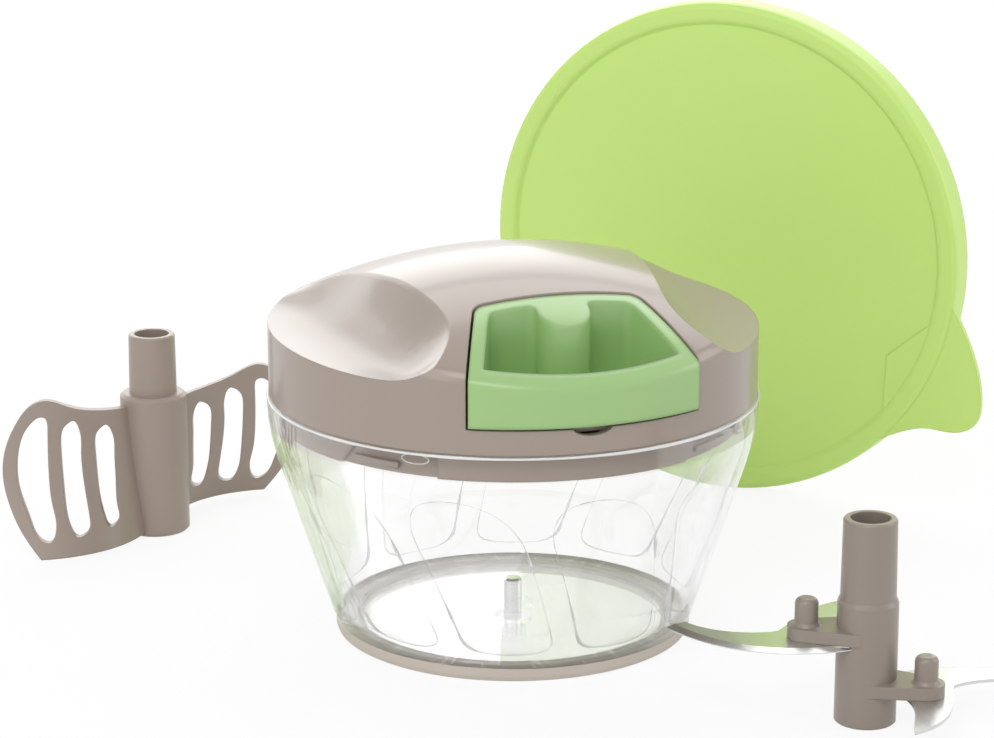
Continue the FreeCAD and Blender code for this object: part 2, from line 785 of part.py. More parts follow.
def make_cord_guide():
    wall_y = handle_back_y + handle_gap
    back = Vector(0, 1, 0)
    length = tunnel_wall + guide_flange
    body = Part.makeCylinder(guide_r, length, Vector(0, wall_y, cord_z), back)
    flange = Part.makeCylinder(guide_flange_r, guide_flange, Vector(0, wall_y + tunnel_wall, cord_z), back)
    body = body.fuse(flange).removeSplitter()
    return body.cut(Part.makeCylinder(guide_bore, length + 2, Vector(0, wall_y - 1, cord_z), back))


def make_pull_cord():
    # The lead leaves the winding at a tangent, bends before the guide and runs straight to the handle.
    elbow = Vector(0, -elbow_reach, cord_z)
    start = polar(cord_coil_r, lead_angle_deg(), cord_z)
    end = Vector(0, handle_back_y - crimp_inset + crimp_r + 0.25, cord_z)
    first = (elbow - start).normalize()
    second = (end - elbow).normalize()
    half_turn = first.getAngle(second) / 2
    cut = 2.4
    radius = cut / math.tan(half_turn)
    into = elbow - first * cut
    out = elbow + second * cut
    centre = elbow + (second - first).normalize() * (radius / math.cos(half_turn))
    middle = centre + (elbow - centre).normalize() * radius
    start = start + first * (math.radians(lead_start_gap_deg) * cord_coil_r)
    bend = Part.Arc(into, middle, out).toShape()
    path = Part.Wire([Part.makeLine(start, into), bend, Part.makeLine(out, end)])
    section = Part.Wire(Part.makeCircle(cord_r, start, first))
    print(f"the cord's lead bends on a radius of {radius:.1f} mm")
    return path.makePipeShell([section], True, True)


def make_cord_crimp():
    spot = Vector(0, handle_back_y - crimp_inset, cord_z - crimp_height / 2)
    body = Part.makeCylinder(crimp_r, crimp_height, spot)
    return body.makeFillet(0.6, body.Edges[0:1] + body.Edges[2:3])


# Pull handle

def make_pull_handle():
    body = handle_blank(0.0, handle_bottom_z)
    cap = block_above(lambda x, y: ridge_height(x, y) - handle_inset,
                      -36.0, 36.0, -lid_r - 7.5, 34.5 - lid_r, 4.0)
    body = body.cut(cap)
    brow = edges_near(body, lambda e: e.BoundBox.XLength > 40 and e.BoundBox.YMax < handle_back_y - 15
                      and e.BoundBox.ZMin > handle_bottom_z + 3)
    body = body.makeFillet(handle_brow, brow)
    floor = handle_bottom_z + handle_floor
    pocket = prism(pocket_outline(), floor, 60)
    upright = edges_near(pocket, lambda e: abs(e.BoundBox.ZLength - 60) < 1e-6
                         and e.Vertexes[0].Y > handle_back_y - 15)
    pocket = pocket.makeFillet(pocket_corner_r, upright)
    pocket = pocket.common(Part.makeCylinder(handle_r - handle_lip, 80, Vector(0, 0, floor)))
    back_wall = handle_back_y - handle_back_wall
    column_y = back_wall - column_out + 1.0
    column = Part.makeCylinder(column_r, 80, Vector(0, column_y, floor - 1))
    web = Part.makeBox(2 * column_r, column_out + 4, 80, Vector(-column_r, column_y, floor - 1))
    pocket = pocket.cut(column.fuse(web).removeSplitter())
    corners = edges_near(pocket, lambda e: e.BoundBox.ZLength > 20 and e.Vertexes[0].Y > back_wall - 0.5
                         and abs(abs(e.Vertexes[0].X) - column_r) < 0.6)
    pocket = pocket.makeFillet(column_blend, corners)
    body = body.cut(pocket)
    knot_hole = Part.makeCylinder(crimp_r + 0.3, cord_z + crimp_height / 2 + 0.4 - handle_bottom_z + 1,
                                  Vector(0, handle_back_y - crimp_inset, handle_bottom_z - 1))
    cord_hole = Part.makeCylinder(cord_r + 0.3, crimp_inset + 1, Vector(0, handle_back_y + 1, cord_z),
                                  Vector(0, -1, 0))
    return body.cut(knot_hole).cut(cord_hole).removeSplitter()


def pocket_outline():
    back = handle_back_y - handle_back_wall
    side = handle_side_wall * math.hypot(1, handle_side_draft)
    half = handle_back_half + handle_side_draft * handle_back_wall - side
    front = handle_front_y
    wide = half + handle_side_draft * (back - front)
    return [(-half, back), (-wide, front), (wide, front), (half, back)]


# Inserts

def placed(shape, place):
    copy = shape.copy()
    copy.translate(Vector(place[0], place[1], 0))
    return around(copy, view_turn_deg)


def insert_bores(body, height):
    depth = height - socket_floor_z
    pin = Part.makeCylinder(pin_r + pin_fit, pin_bore_depth + 1, Vector(0, 0, -1))
    socket = Part.makeCylinder(socket_r, depth + 1, Vector(0, 0, height - depth))
    key_half = drive_fin_width / 2 + 0.4
    key_corner = Vector(-socket_r - 1, -key_half, height - depth - 3)
    keyway = Part.makeBox(2 * socket_r + 2, 2 * key_half, 3, key_corner)
    keyway = keyway.common(Part.makeCylinder(socket_r, 10, Vector(0, 0, height - depth - 4)))
    return body.cut(pin).cut(socket).cut(keyway)


def arm(z, degrees):
    # A plate between two tangents, from the shaft's round to the peg's.
    tangent = math.acos((blade_shaft_r - arm_end_r) / arm_peg_at)
    corners = []
    for centre, radius, turn in ((0, blade_shaft_r, -tangent), (arm_peg_at, arm_end_r, -tangent),
                                 (arm_peg_at, arm_end_r, tangent), (0, blade_shaft_r, tangent)):
        corners.append(Vector(centre + radius * math.cos(turn), radius * math.sin(turn), z))
    plate = prism([(spot.x, spot.y) for spot in corners], z, arm_thickness)
    core = Part.makeCylinder(blade_shaft_r - 0.6, arm_thickness, Vector(0, 0, z))
    end = Part.makeCylinder(arm_end_r, arm_thickness, Vector(arm_peg_at, 0, z))
    slab = plate.fuse([core, end]).removeSplitter()
    peg_foot = z + arm_thickness
    peg = Part.makeCylinder(peg_r, peg_height, Vector(arm_peg_at, 0, peg_foot - 0.2))
    peg = peg.makeFillet(1.6, edges_near(peg, lambda e: e.BoundBox.ZMin > peg_foot + 1))
    foot = Part.makeCone(peg_r + 0.8, peg_r, 1.0, Vector(arm_peg_at, 0, peg_foot - 0.1))
    return around(slab.fuse([peg, foot]).removeSplitter(), degrees)


def make_blade_shaft():
    body = turned([(0, 0), (blade_shaft_r - 0.4, 0), (blade_shaft_r, 0.4),
                   (blade_shaft_r - 0.1, blade_shaft_z - 1.0), (blade_shaft_r - 0.5, blade_shaft_z),
                   (insert_top_r + 0.15, blade_shaft_z + 0.2), (insert_top_r - 0.1, blade_height - 0.5),
                   (insert_top_r - 0.5, blade_height), (0, blade_height)])
    body = body.fuse([arm(upper_blade_z + blade_thickness + 0.02, upper_arm_deg),
                      arm(lower_blade_z + blade_thickness + 0.02, lower_arm_deg)])
    body = insert_bores(body.removeSplitter(), blade_height)
    for blade in (make_blade_upper(), make_blade_lower()):
        body = body.cut(blade)
    return body.removeSplitter()


def blade_outline():
    # The long swept edge, the tip and the back edge; then the short hook's two edges, which end in the hub.
    swept = [(-3.5, -5.8), (-11.7, -8.5), (-21.4, -8.9), (-33.3, -5.4), (-42.6, 1.8), (-48.8, 10.0)]
    back = [(-44.0, 12.3), (-36.6, 6.3), (-28.5, 4.4), (-21.5, 5.6)]
    hook_out = [(-21.5, 5.6), (-17.0, 13.8), (-11.0, 23.0), (-5.0, 28.0), (2.0, 30.6)]
    hook_in = [(2.0, 30.6), (-0.6, 25.2), (-4.2, 18.6), (-6.4, 11.6), (-6.0, 4.8)]
    hub = [(-6.0, 4.8), (2.0, 5.8), (5.5, 0.0), (2.0, -5.8), (-3.5, -5.8)]
    return swept, back, hook_out, hook_in, hub


def flat_curve(points, z):
    curve = Part.BSplineCurve()
    curve.interpolate([Vector(x, y, z) for x, y in points])
    return curve.toShape()


def make_blade(z, degrees):
    swept, back, hook_out, hook_in, hub = blade_outline()
    edges = [flat_curve(swept, z)]
    edges.append(Part.makeLine(Vector(*swept[-1], z), Vector(*back[0], z)))
    edges += [flat_curve(back, z), flat_curve(hook_out, z), flat_curve(hook_in, z)]
    for start, end in zip(hub, hub[1:]):
        edges.append(Part.makeLine(Vector(*start, z), Vector(*end, z)))
    blade = Part.Face(Part.Wire(edges)).extrude(Vector(0, 0, blade_thickness))
    ground = edges_near(blade, lambda e: e.BoundBox.ZMin > z + 0.5 * blade_thickness
                        and e.Length > 40 and e.BoundBox.YMin < -6)
    blade = blade.makeChamfer(blade_thickness * 0.72, blade_bevel, ground)
    hole = Part.makeCylinder(pin_r + pin_fit + 0.8, 3, Vector(0, 0, z - 1))
    return around(blade.cut(hole), degrees)


def make_blade_upper():
    return make_blade(upper_blade_z, 0)


def make_blade_lower():
    return make_blade(lower_blade_z, blade_step_deg)


def wing_band(z, points):
    inner = [Vector(x, y, z) for x, y in points]
    shift = []
    for i, spot in enumerate(inner):
        ahead = inner[min(i + 1, 2)] - inner[max(i - 1, 0)]
        side = Vector(-ahead.y, ahead.x, 0).normalize() * wing_thickness
        shift.append(spot + side)
    edges = [
        Part.Arc(*inner).toShape(),
        Part.makeLine(inner[2], shift[2]),
        Part.Arc(shift[2], shift[1], shift[0]).toShape(),
        Part.makeLine(shift[0], inner[0]),
    ]
    return Part.Wire(edges)


def side_spline(points, closed):
    curve = Part.BSplineCurve()
    curve.interpolate([Vector(x, 12, z) for x, z in points], PeriodicFlag=closed)
    return curve.toShape()


def wing_outline():
    points = [(0, 38.2), (-8.5, 38.9), (-14.1, 39.8), (-21.1, 41.7), (-25.0, 43.5), (-29.0, 44.6),
              (-32.8, 43.2), (-36.4, 39.0), (-39.1, 33.4), (-40.3, 27.5), (-40.0, 22.5), (-38.4, 16.7),
              (-35.1, 9.6), (-31.4, 4.3), (-29.2, wing_foot_z)]
    edges = [side_spline(points, False)]
    corners = [Vector(-29.2, 12, wing_foot_z), Vector(0, 12, wing_foot_z), Vector(0, 12, 38.2)]
    edges += [Part.makeLine(corners[0], corners[1]), Part.makeLine(corners[1], corners[2])]
    return Part.Face(Part.Wire(edges)).extrude(Vector(0, -60, 0))


def make_wing():
    foot = wing_band(0.0, [(-4.0, -8.0), (-19.0, -30.0), (-44.0, -33.0)])
    middle = wing_band(24.0, [(-6.0, -5.0), (-24.0, -22.0), (-52.0, -25.0)])
    head = wing_band(48.0, [(-6.0, -1.0), (-25.0, -17.0), (-54.0, -20.0)])
    body = Part.makeLoft([foot, middle, head], True, False)
    return body.common(wing_outline())


def wing_slots():
    outlines = [
        [(-31.2, 39.6), (-34.6, 35.5), (-36.3, 28.0), (-35.6, 20.5), (-32.6, 12.4), (-29.2, 6.6), (-26.8, 5.9),
         (-25.4, 8.6), (-26.4, 15.5), (-27.6, 25.0), (-27.9, 36.0), (-29.0, 39.9)],
        [(-21.6, 38.0), (-23.9, 35.8), (-24.4, 31.0), (-23.9, 24.0), (-23.0, 15.5), (-21.4, 8.9), (-19.2, 6.4),
         (-16.9, 7.3), (-16.5, 11.5), (-18.0, 20.1), (-18.9, 29.5), (-19.5, 35.8)],
        [(-13.0, 35.3), (-15.0, 33.2), (-15.3, 28.5), (-14.8, 22.5), (-14.0, 15.8), (-12.5, 9.8), (-10.8, 7.2),
         (-9.3, 7.9), (-9.2, 12.0), (-9.8, 19.0), (-10.2, 27.3), (-11.0, 33.4)],
    ]
    faces = [Part.Face(Part.Wire([side_spline(points, True)])) for points in outlines]
    return [face.extrude(Vector(0, -70, 0)) for face in faces]


def make_paddle():
    body = turned([(0, 0), (paddle_shaft_r - 0.8, 0), (paddle_shaft_r, 0.8),
                   (paddle_shaft_r, paddle_shaft_z - 1.0),
                   (paddle_shaft_r - 1.0, paddle_shaft_z), (insert_top_r + 0.1, paddle_shaft_z),
                   (insert_top_r - 0.1, paddle_height - 0.5), (insert_top_r - 0.5, paddle_height),
                   (0, paddle_height)])
    wing = make_wing().cut(wing_slots())
    body = body.fuse([wing, around(wing, 180)]).removeSplitter()
    return insert_bores(body, paddle_height)


# Storage lid

def make_storage_lid():
    top = 0.0
    panel_r = store_r - store_border
    plug_in = store_plug_r - store_skirt_wall
    under = top - store_panel_drop - store_plate
    body = turned([(0, top - store_panel_drop), (panel_r - 1.0, top - store_panel_drop), (panel_r, top - 0.3),
                   (panel_r + 0.8, top), (store_r - store_edge_r, top), (store_r - 0.4, top - 0.6),
                   (store_r, top - store_edge_r), (store_r + 0.2, top - store_depth),
                   (store_r - store_skirt_wall, top - store_depth), (store_r - store_skirt_wall, under),
                   (store_plug_r, under), (store_plug_r, under - store_plug_depth),
                   (plug_in, under - store_plug_depth), (plug_in, under), (0, under)])
    low = top - tab_drop
    edge_spots = [(store_r + x, y) for x, y in tab_outline]
    tab = flat_curve(edge_spots, low)
    root_spots = [edge_spots[-1], (store_r + tab_root[0], tab_root[1]), edge_spots[0]]
    root = Part.makePolygon([Vector(x, y, low) for x, y in root_spots])
    tab = Part.Face(Part.Wire([tab] + root.Edges)).extrude(Vector(0, 0, tab_thickness))
    return body.fuse(tab).removeSplitter()


def stand_up(shape):
    copy = shape.copy()
    copy.rotate(Vector(), Vector(1, 0, 0), 90)
    copy.rotate(Vector(), up, -store_yaw_deg)
    copy.translate(Vector(store_place[0], store_place[1], 0))
    copy.rotate(Vector(), up, view_turn_deg)
    copy.translate(Vector(0, 0, -copy.optimalBoundingBox().ZMin))
    return copy


def main():
    os.makedirs("parts", exist_ok=True)
    nodes = {
        "bowl": make_bowl(),
        "foot_ring": make_foot_ring(),
        "centre_pin": make_centre_pin(),
        "lid_seal": make_lid_seal(),
        "housing_top": make_housing_top(),
        "inner_cover": make_inner_cover(),
        "cord_guide": make_cord_guide(),
        "recoil_spring": make_recoil_spring(),
        "reel_washer": make_reel_washer(),
        "cord_reel": make_cord_reel(),
        "drive_spindle": make_drive_spindle(),
        "reel_screw": make_reel_screw(),
        "cord_winding": make_cord_winding(),
        "pull_cord": make_pull_cord(),
        "pull_handle": make_pull_handle(),
        "cord_crimp": make_cord_crimp(),
        "blade_shaft": placed(make_blade_shaft(), blade_place),
        "blade_upper": placed(make_blade_upper(), blade_place),
        "blade_lower": placed(make_blade_lower(), blade_place),
        "paddle": placed(make_paddle(), paddle_place),
        "storage_lid": stand_up(make_storage_lid()),
    }
    for number, screw in enumerate(make_cover_screws(), 1):
        nodes[f"cover_screw_{number}"] = screw
    for name, shape in nodes.items():
        box = shape.BoundBox
        print(f"{name:16s} valid {shape.isValid()} solids {len(shape.Solids)} volume {shape.Volume:9.0f} "
              f"x {box.XMin:.1f} {box.XMax:.1f} y {box.YMin:.1f} {box.YMax:.1f} "
              f"z {box.ZMin:.1f} {box.ZMax:.1f}")
        shape.exportStep(f"parts/{name}.step")


main()
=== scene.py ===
import math
import bpy
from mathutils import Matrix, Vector


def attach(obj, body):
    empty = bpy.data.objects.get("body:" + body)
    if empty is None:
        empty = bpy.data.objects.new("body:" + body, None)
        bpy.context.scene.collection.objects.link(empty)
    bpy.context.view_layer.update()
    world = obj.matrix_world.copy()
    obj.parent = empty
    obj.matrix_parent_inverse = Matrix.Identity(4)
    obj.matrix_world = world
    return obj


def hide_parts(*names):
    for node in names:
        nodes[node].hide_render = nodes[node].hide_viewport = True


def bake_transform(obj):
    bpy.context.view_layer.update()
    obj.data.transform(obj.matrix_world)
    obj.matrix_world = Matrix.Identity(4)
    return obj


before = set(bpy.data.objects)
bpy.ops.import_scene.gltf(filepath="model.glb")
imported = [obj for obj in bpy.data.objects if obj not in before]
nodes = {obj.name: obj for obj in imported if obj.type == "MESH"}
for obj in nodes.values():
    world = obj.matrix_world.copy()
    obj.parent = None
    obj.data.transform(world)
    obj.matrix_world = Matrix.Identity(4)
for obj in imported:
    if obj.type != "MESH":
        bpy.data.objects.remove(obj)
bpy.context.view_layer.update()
print("frame loaded:", len(nodes), "nodes")

# Where the camera stands and looks, in metres, with its lens and sensor in millimetres
stand = {
    "lens": 117.87,
    "sensorWidth": 36.0,
    "nearest": 0.01,
    "place": (-0.2550, -0.7899, 0.29285),
    "aim": (-0.00403, 0.00128, 0.07037),
}

studio = {
    "worldLevel": 0.46,
    "backdropLevel": 1.0,
    "floorSize": 8.0,
    "floorGrey": 0.93,
    "floorGlow": 0.88,
}

softBoxes = {
    "rear": {"place": (0.20, 1.15, 0.50), "aim": (0, 0, 0.08), "size": (2.0, 0.6), "watts": 6.5},
    "overhead": {"place": (0.15, 0.75, 1.00), "aim": (0, 0, 0.08), "size": (1.6, 0.5), "watts": 5.0},
    "frontTop": {"place": (-0.45, -0.85, 1.15), "aim": (0, 0, 0.08), "size": (0.8, 0.8), "watts": 6.5},
    "leftFront": {"place": (-1.25, -0.75, 0.60), "aim": (0, 0, 0.06), "size": (0.9, 1.2), "watts": 4.5},
    "rightFill": {"place": (1.30, -0.35, 0.60), "aim": (0, 0, 0.06), "size": (0.7, 1.0), "watts": 4.5},
}

bevelSamples = 6


class Wire:  # a node's output, on which shader maths reads as plain sums
    def __init__(self, tree, socket):
        self.tree = tree
        self.socket = socket

    def maths(self, operation, first, second=None):
        node = self.tree.nodes.new("ShaderNodeMath")
        node.operation = operation
        plug(self.tree, node.inputs[0], first)
        if second is not None:
            plug(self.tree, node.inputs[1], second)
        return Wire(self.tree, node.outputs[0])

    def __add__(self, other):
        return self.maths("ADD", self, other)

    def __radd__(self, other):
        return self.maths("ADD", other, self)

    def __sub__(self, other):
        return self.maths("SUBTRACT", self, other)

    def __rsub__(self, other):
        return self.maths("SUBTRACT", other, self)

    def __mul__(self, other):
        return self.maths("MULTIPLY", self, other)

    def __truediv__(self, other):
        return self.maths("DIVIDE", self, other)

    def __pow__(self, other):
        return self.maths("POWER", self, other)

    def limited(self):
        return self.maths("MINIMUM", self.maths("MAXIMUM", self, 0.0), 1.0)


def plug(tree, socket, value):
    if isinstance(value, Wire):
        tree.links.new(value.socket, socket)
    elif hasattr(value, "__len__") and len(value) == 3 and socket.type == "RGBA":
        socket.default_value = (*value, 1.0)
    else:
        socket.default_value = value


def addNode(tree, kind, settings, inputs, output):
    node = tree.nodes.new(kind)
    for key, value in (settings or {}).items():
        setattr(node, key, value)
    for key, value in (inputs or {}).items():
        plug(tree, node.inputs[key], value)
    return Wire(tree, node.outputs[output])


class Finish:  # a material under construction
    def __init__(self, name):
        self.material = bpy.data.materials.new(name)
        self.material.use_nodes = True
        self.tree = self.material.node_tree
        self.tree.nodes.clear()
        self.output = self.tree.nodes.new("ShaderNodeOutputMaterial")

    def add(self, kind, settings=None, inputs=None, output=0):
        return addNode(self.tree, kind, settings, inputs, output)

    def place(self, scale=(1, 1, 1), turn=(0, 0, 0)):
        coords = self.add("ShaderNodeTexCoord", output=3)
        return self.add("ShaderNodeMapping", inputs={0: coords, 2: turn, 3: scale})

    def noise(self, vector, scale, detail=2.0, roughness=0.5):
        inputs = {"Vector": vector, "Scale": scale, "Detail": detail, "Roughness": roughness}
        return self.add("ShaderNodeTexNoise", inputs=inputs)

    def blendColours(self, factor, first, second):
        inputs = {0: factor, 6: first, 7: second}
        return self.add("ShaderNodeMix", {"data_type": "RGBA"}, inputs, output=2)

    def bump(self, height, distance, rounding=0.0):
        inputs = {"Strength": 1.0, "Distance": distance, "Height": height}
        if rounding:
            inputs["Normal"] = self.add("ShaderNodeBevel", {"samples": bevelSamples}, {"Radius": rounding})
        return self.add("ShaderNodeBump", inputs=inputs)

    def facing(self):
        return self.add("ShaderNodeLayerWeight", inputs={"Blend": 0.5}, output=1)

    def finish(self, inputs):
        shader = self.add("ShaderNodeBsdfPrincipled", inputs=inputs)
        self.tree.links.new(shader.socket, self.output.inputs[0])
        return self.material


plasticIor = 1.49

handling = {
    "hairStretch": (1.0, 0.06, 1.0),
    "hairTurn": (0.3, 0.5, 0.9),
    "hairStart": 0.60,
    "patchScale": 28.0,
    "patchStart": 0.45,
    "contrast": 3,
    "flowRough": 0.06,
    "peelHeight": 0.6,
    "hairHeight": -0.03,
}


def coat(settings, name):
    # Moulded plastic: faint flow in the colour, orange peel, and hairlines where it has been handled.
    made = Finish(name)
    here = made.place()
    flow = made.noise(here, settings["flowScale"], detail=3.0)
    base = made.blendColours(flow, settings["deep"], settings["pale"])
    peel = made.noise(here, settings["peelScale"], detail=2.0)
    along = made.place(scale=handling["hairStretch"], turn=handling["hairTurn"])
    hairs = made.noise(along, settings["hairScale"], detail=4.0)
    patches = made.noise(here, handling["patchScale"], detail=3.0)
    worn = ((hairs - handling["hairStart"]) * handling["contrast"]).limited()
    worn = worn * ((patches - handling["patchStart"]) * handling["contrast"]).limited()
    rough = settings["rough"] + (flow - 0.5) * handling["flowRough"] + worn * settings["hairDepth"]
    height = peel * handling["peelHeight"] + worn * handling["hairHeight"]
    return made.finish({
        "Base Color": base,
        "Roughness": rough,
        "IOR": plasticIor,
        "Coat Weight": settings["gloss"],
        "Coat Roughness": settings["coatRough"],
        "Normal": made.bump(height, settings["peelDepth"], settings["rounding"]),
    })


taupeGloss = {
    "rounding": 0.0007,
    "deep": (0.325, 0.265, 0.223),
    "pale": (0.360, 0.298, 0.255),
    "flowScale": 9.0,
    "peelScale": 900.0,
    "peelDepth": 0.000010,
    "hairScale": 700.0,
    "hairDepth": 0.10,
    "rough": 0.30,
    "gloss": 0.32,
    "coatRough": 0.12,
}

handleGreen = {
    "rounding": 0.0018,
    "deep": (0.318, 0.515, 0.195),
    "pale": (0.356, 0.562, 0.228),
    "flowScale": 14.0,
    "peelScale": 1100.0,
    "peelDepth": 0.000010,
    "hairScale": 800.0,
    "hairDepth": 0.12,
    "rough": 0.30,
    "gloss": 0.35,
    "coatRough": 0.12,
}

limeLid = {
    "rounding": 0.0006,
    "deep": (0.545, 0.785, 0.190),
    "pale": (0.590, 0.830, 0.215),
    "flowScale": 6.0,
    "peelScale": 700.0,
    "peelDepth": 0.000016,
    "hairScale": 500.0,
    "hairDepth": 0.10,
    "rough": 0.42,
    "gloss": 0.10,
    "coatRough": 0.25,
}

insertTaupe = {
    "rounding": 0.0006,
    "deep": (0.260, 0.216, 0.180),
    "pale": (0.300, 0.252, 0.214),
    "flowScale": 20.0,
    "peelScale": 1200.0,
    "peelDepth": 0.000010,
    "hairScale": 800.0,
    "hairDepth": 0.14,
    "rough": 0.36,
    "gloss": 0.20,
    "coatRough": 0.16,
}

paddleTaupe = {**insertTaupe, "deep": (0.322, 0.258, 0.218), "pale": (0.364, 0.298, 0.254), "gloss": 0.12}

reelWhite = {
    "rounding": 0.0003,
    "deep": (0.700, 0.700, 0.680),
    "pale": (0.780, 0.780, 0.765),
    "flowScale": 30.0,
    "peelScale": 1500.0,
    "peelDepth": 0.000012,
    "hairScale": 900.0,
    "hairDepth": 0.10,
    "rough": 0.45,
    "gloss": 0.05,
    "coatRough": 0.30,
}

clearPlastic = {
    "tint": (0.985, 0.990, 0.988),
    "edgeTint": (0.800, 0.810, 0.812),
    "faceAlpha": 0.08,
    "edgeAlpha": 0.92,
    "edgePower": 3.0,
    "rippleScale": 55.0,
    "rippleHeight": 0.5,
    "scuffScale": 420.0,
    "scuffStretch": (1, 1, 0.15),
    "scuffTurn": (0.2, 0.4, 0.1),
    "scuffStart": 0.66,
    "scuffContrast": 7,
    "scuffHeight": -0.1,
    "scuffRough": 0.10,
    "rough": 0.015,
    "depth": 0.000030,
}


def clearBowl():
    # Seen square on it is nearly invisible, and towards its outline it bends and greys what is behind.
    clear = clearPlastic
    made = Finish("clearBowl")
    ripple = made.noise(made.place(), clear["rippleScale"], detail=1.0)
    along = made.place(scale=clear["scuffStretch"], turn=clear["scuffTurn"])
    scuff = made.noise(along, clear["scuffScale"], detail=4.0)
    worn = ((scuff - clear["scuffStart"]) * clear["scuffContrast"]).limited()
    slant = made.facing() ** clear["edgePower"]
    height = ripple * clear["rippleHeight"] + worn * clear["scuffHeight"]
    return made.finish({
        "Base Color": made.blendColours(slant, clear["tint"], clear["edgeTint"]),
        "Roughness": clear["rough"] + worn * clear["scuffRough"],
        "IOR": plasticIor,
        "Transmission Weight": 1.0,
        "Alpha": slant * (clear["edgeAlpha"] - clear["faceAlpha"]) + clear["faceAlpha"],
        "Normal": made.bump(height, clear["depth"]),
    })


# Grey to near-white streaks: painted shade and painted highlight along the panel edges
panelShadeAndHighlight = {
    "deep": (0.50, 0.51, 0.52),
    "pale": (0.86, 0.87, 0.87),
    "scale": 160.0,
    "clear": 1.0,
    "rough": 0.04,
    "roughSpread": 0.05,
    "depth": 0.000020,
}

# Near-white and mostly opaque: a painted highlight on the rim's top edge and round the lugs
rimPaintedHighlight = {**panelShadeAndHighlight, "deep": (0.88, 0.88, 0.87), "pale": (0.96, 0.96, 0.95), "scale": 40.0, "clear": 0.20}


def edgeShadeAndHighlight(name, settings):
    # The thick rounded edges of the clear moulding, which show as fine grey and white lines: their grey is
    # painted shade and their white is painted highlight.
    made = Finish(name)
    streaks = made.noise(made.place(), settings["scale"], detail=3.0)
    return made.finish({
        "Base Color": made.blendColours(streaks, settings["deep"], settings["pale"]),
        "Roughness": settings["rough"] + streaks * settings["roughSpread"],
        "IOR": plasticIor,
        "Transmission Weight": settings["clear"],
        "Normal": made.bump(streaks, settings["depth"]),
    })


footFinish = {
    "deep": (0.560, 0.500, 0.435),
    "pale": (0.620, 0.555, 0.490),
    "inside": (0.940, 0.895, 0.830),
    "insideR": 0.0445,
    "insideContrast": 2000,
    "grainScale": 1600.0,
    "cloudScale": 22.0,
    "rough": 0.55,
    "roughSpread": 0.2,
    "ior": 1.45,
    "depth": 0.000030,
}


def softFoot():
    # Its inner side is painted paler: a painted light standing for the light that the clear floor above it
    # gathers.
    foot = footFinish
    made = Finish("softFoot")
    here = made.place()
    grain = made.noise(here, foot["grainScale"], detail=3.0)
    cloud = made.noise(here, foot["cloudScale"], detail=3.0)
    across, along = (made.add("ShaderNodeSeparateXYZ", inputs={0: here}, output=side) for side in (0, 1))
    reach = (across * across + along * along) ** 0.5
    # painted light: paler inside this radius, on the ring's inner side
    inside = ((foot["insideR"] - reach) * foot["insideContrast"]).limited()
    outer = made.blendColours(cloud, foot["deep"], foot["pale"])
    return made.finish({
        "Base Color": made.blendColours(inside, outer, foot["inside"]),
        "Roughness": foot["rough"] + (grain - 0.5) * foot["roughSpread"],
        "IOR": foot["ior"],
        "Normal": made.bump(grain, foot["depth"]),
    })


grinding = {
    "scratchStretch": (1, 0.05, 1),
    "scratchTurn": (0.1, 0.2, 2.1),
    "scratchScale": 500.0,
    "scratchStart": 0.66,
    "scratchContrast": 8,
    "scratchRough": 0.10,
    "scratchHeight": 0.3,
    "lineRough": 0.12,
    "lineHeight": 0.7,
}


def brushedSteel(name, settings):
    # Ground along one direction, with a few longer scratches across it.
    ground = grinding
    made = Finish(name)
    along = made.place(scale=settings["stretch"], turn=settings["turn"])
    lines = made.noise(along, settings["scale"], detail=4.0, roughness=0.6)
    across = made.place(scale=ground["scratchStretch"], turn=ground["scratchTurn"])
    cross = made.noise(across, ground["scratchScale"], detail=3.0)
    scratches = ((cross - ground["scratchStart"]) * ground["scratchContrast"]).limited()
    rough = settings["rough"] + (lines - 0.5) * ground["lineRough"] + scratches * ground["scratchRough"]
    height = lines * ground["lineHeight"] - scratches * ground["scratchHeight"]
    return made.finish({
        "Base Color": made.blendColours(lines, settings["deep"], settings["pale"]),
        "Metallic": 1.0,
        "Roughness": rough,
        "Normal": made.bump(height, settings["depth"]),
    })


bladeSteel = {
    "deep": (0.60, 0.60, 0.59),
    "pale": (0.76, 0.76, 0.75),
    "stretch": (1.0, 0.04, 1.0),
    "turn": (0, 0, 0.5),
    "scale": 900.0,
    "rough": 0.31,
    "depth": 0.000006,
}

pinSteel = {
    "deep": (0.66, 0.66, 0.66),
    "pale": (0.76, 0.76, 0.76),
    "stretch": (0.1, 0.1, 1.0),
    "turn": (0, 0, 0),
    "scale": 1500.0,
    "rough": 0.14,
    "depth": 0.000004,
}

zincScrew = {
    "deep": (0.52, 0.53, 0.55),
    "pale": (0.68, 0.69, 0.71),
    "stretch": (1.0, 1.0, 1.0),
    "turn": (0, 0, 0),
    "scale": 1300.0,
    "rough": 0.32,
    "depth": 0.000008,
}

silicone = {
    "deep": (0.70, 0.69, 0.66),
    "pale": (0.80, 0.79, 0.76),
    "cloudScale": 60.0,
    "grainScale": 1400.0,
    "rough": 0.42,
    "roughSpread": 0.1,
    "ior": 1.41,
    "depth": 0.000010,
}


def sealSilicone():
    made = Finish("sealSilicone")
    here = made.place()
    cloud = made.noise(here, silicone["cloudScale"], detail=2.0)
    return made.finish({
        "Base Color": made.blendColours(cloud, silicone["deep"], silicone["pale"]),
        "Roughness": silicone["rough"] + (cloud - 0.5) * silicone["roughSpread"],
        "IOR": silicone["ior"],
        "Normal": made.bump(made.noise(here, silicone["grainScale"]), silicone["depth"]),
    })


cordBraid = {
    "deep": (0.62, 0.61, 0.58),
    "pale": (0.82, 0.81, 0.78),
    "strandScale": 2600.0,
    "rough": 0.75,
    "roughSpread": 0.2,
    "depth": 0.00008,
}


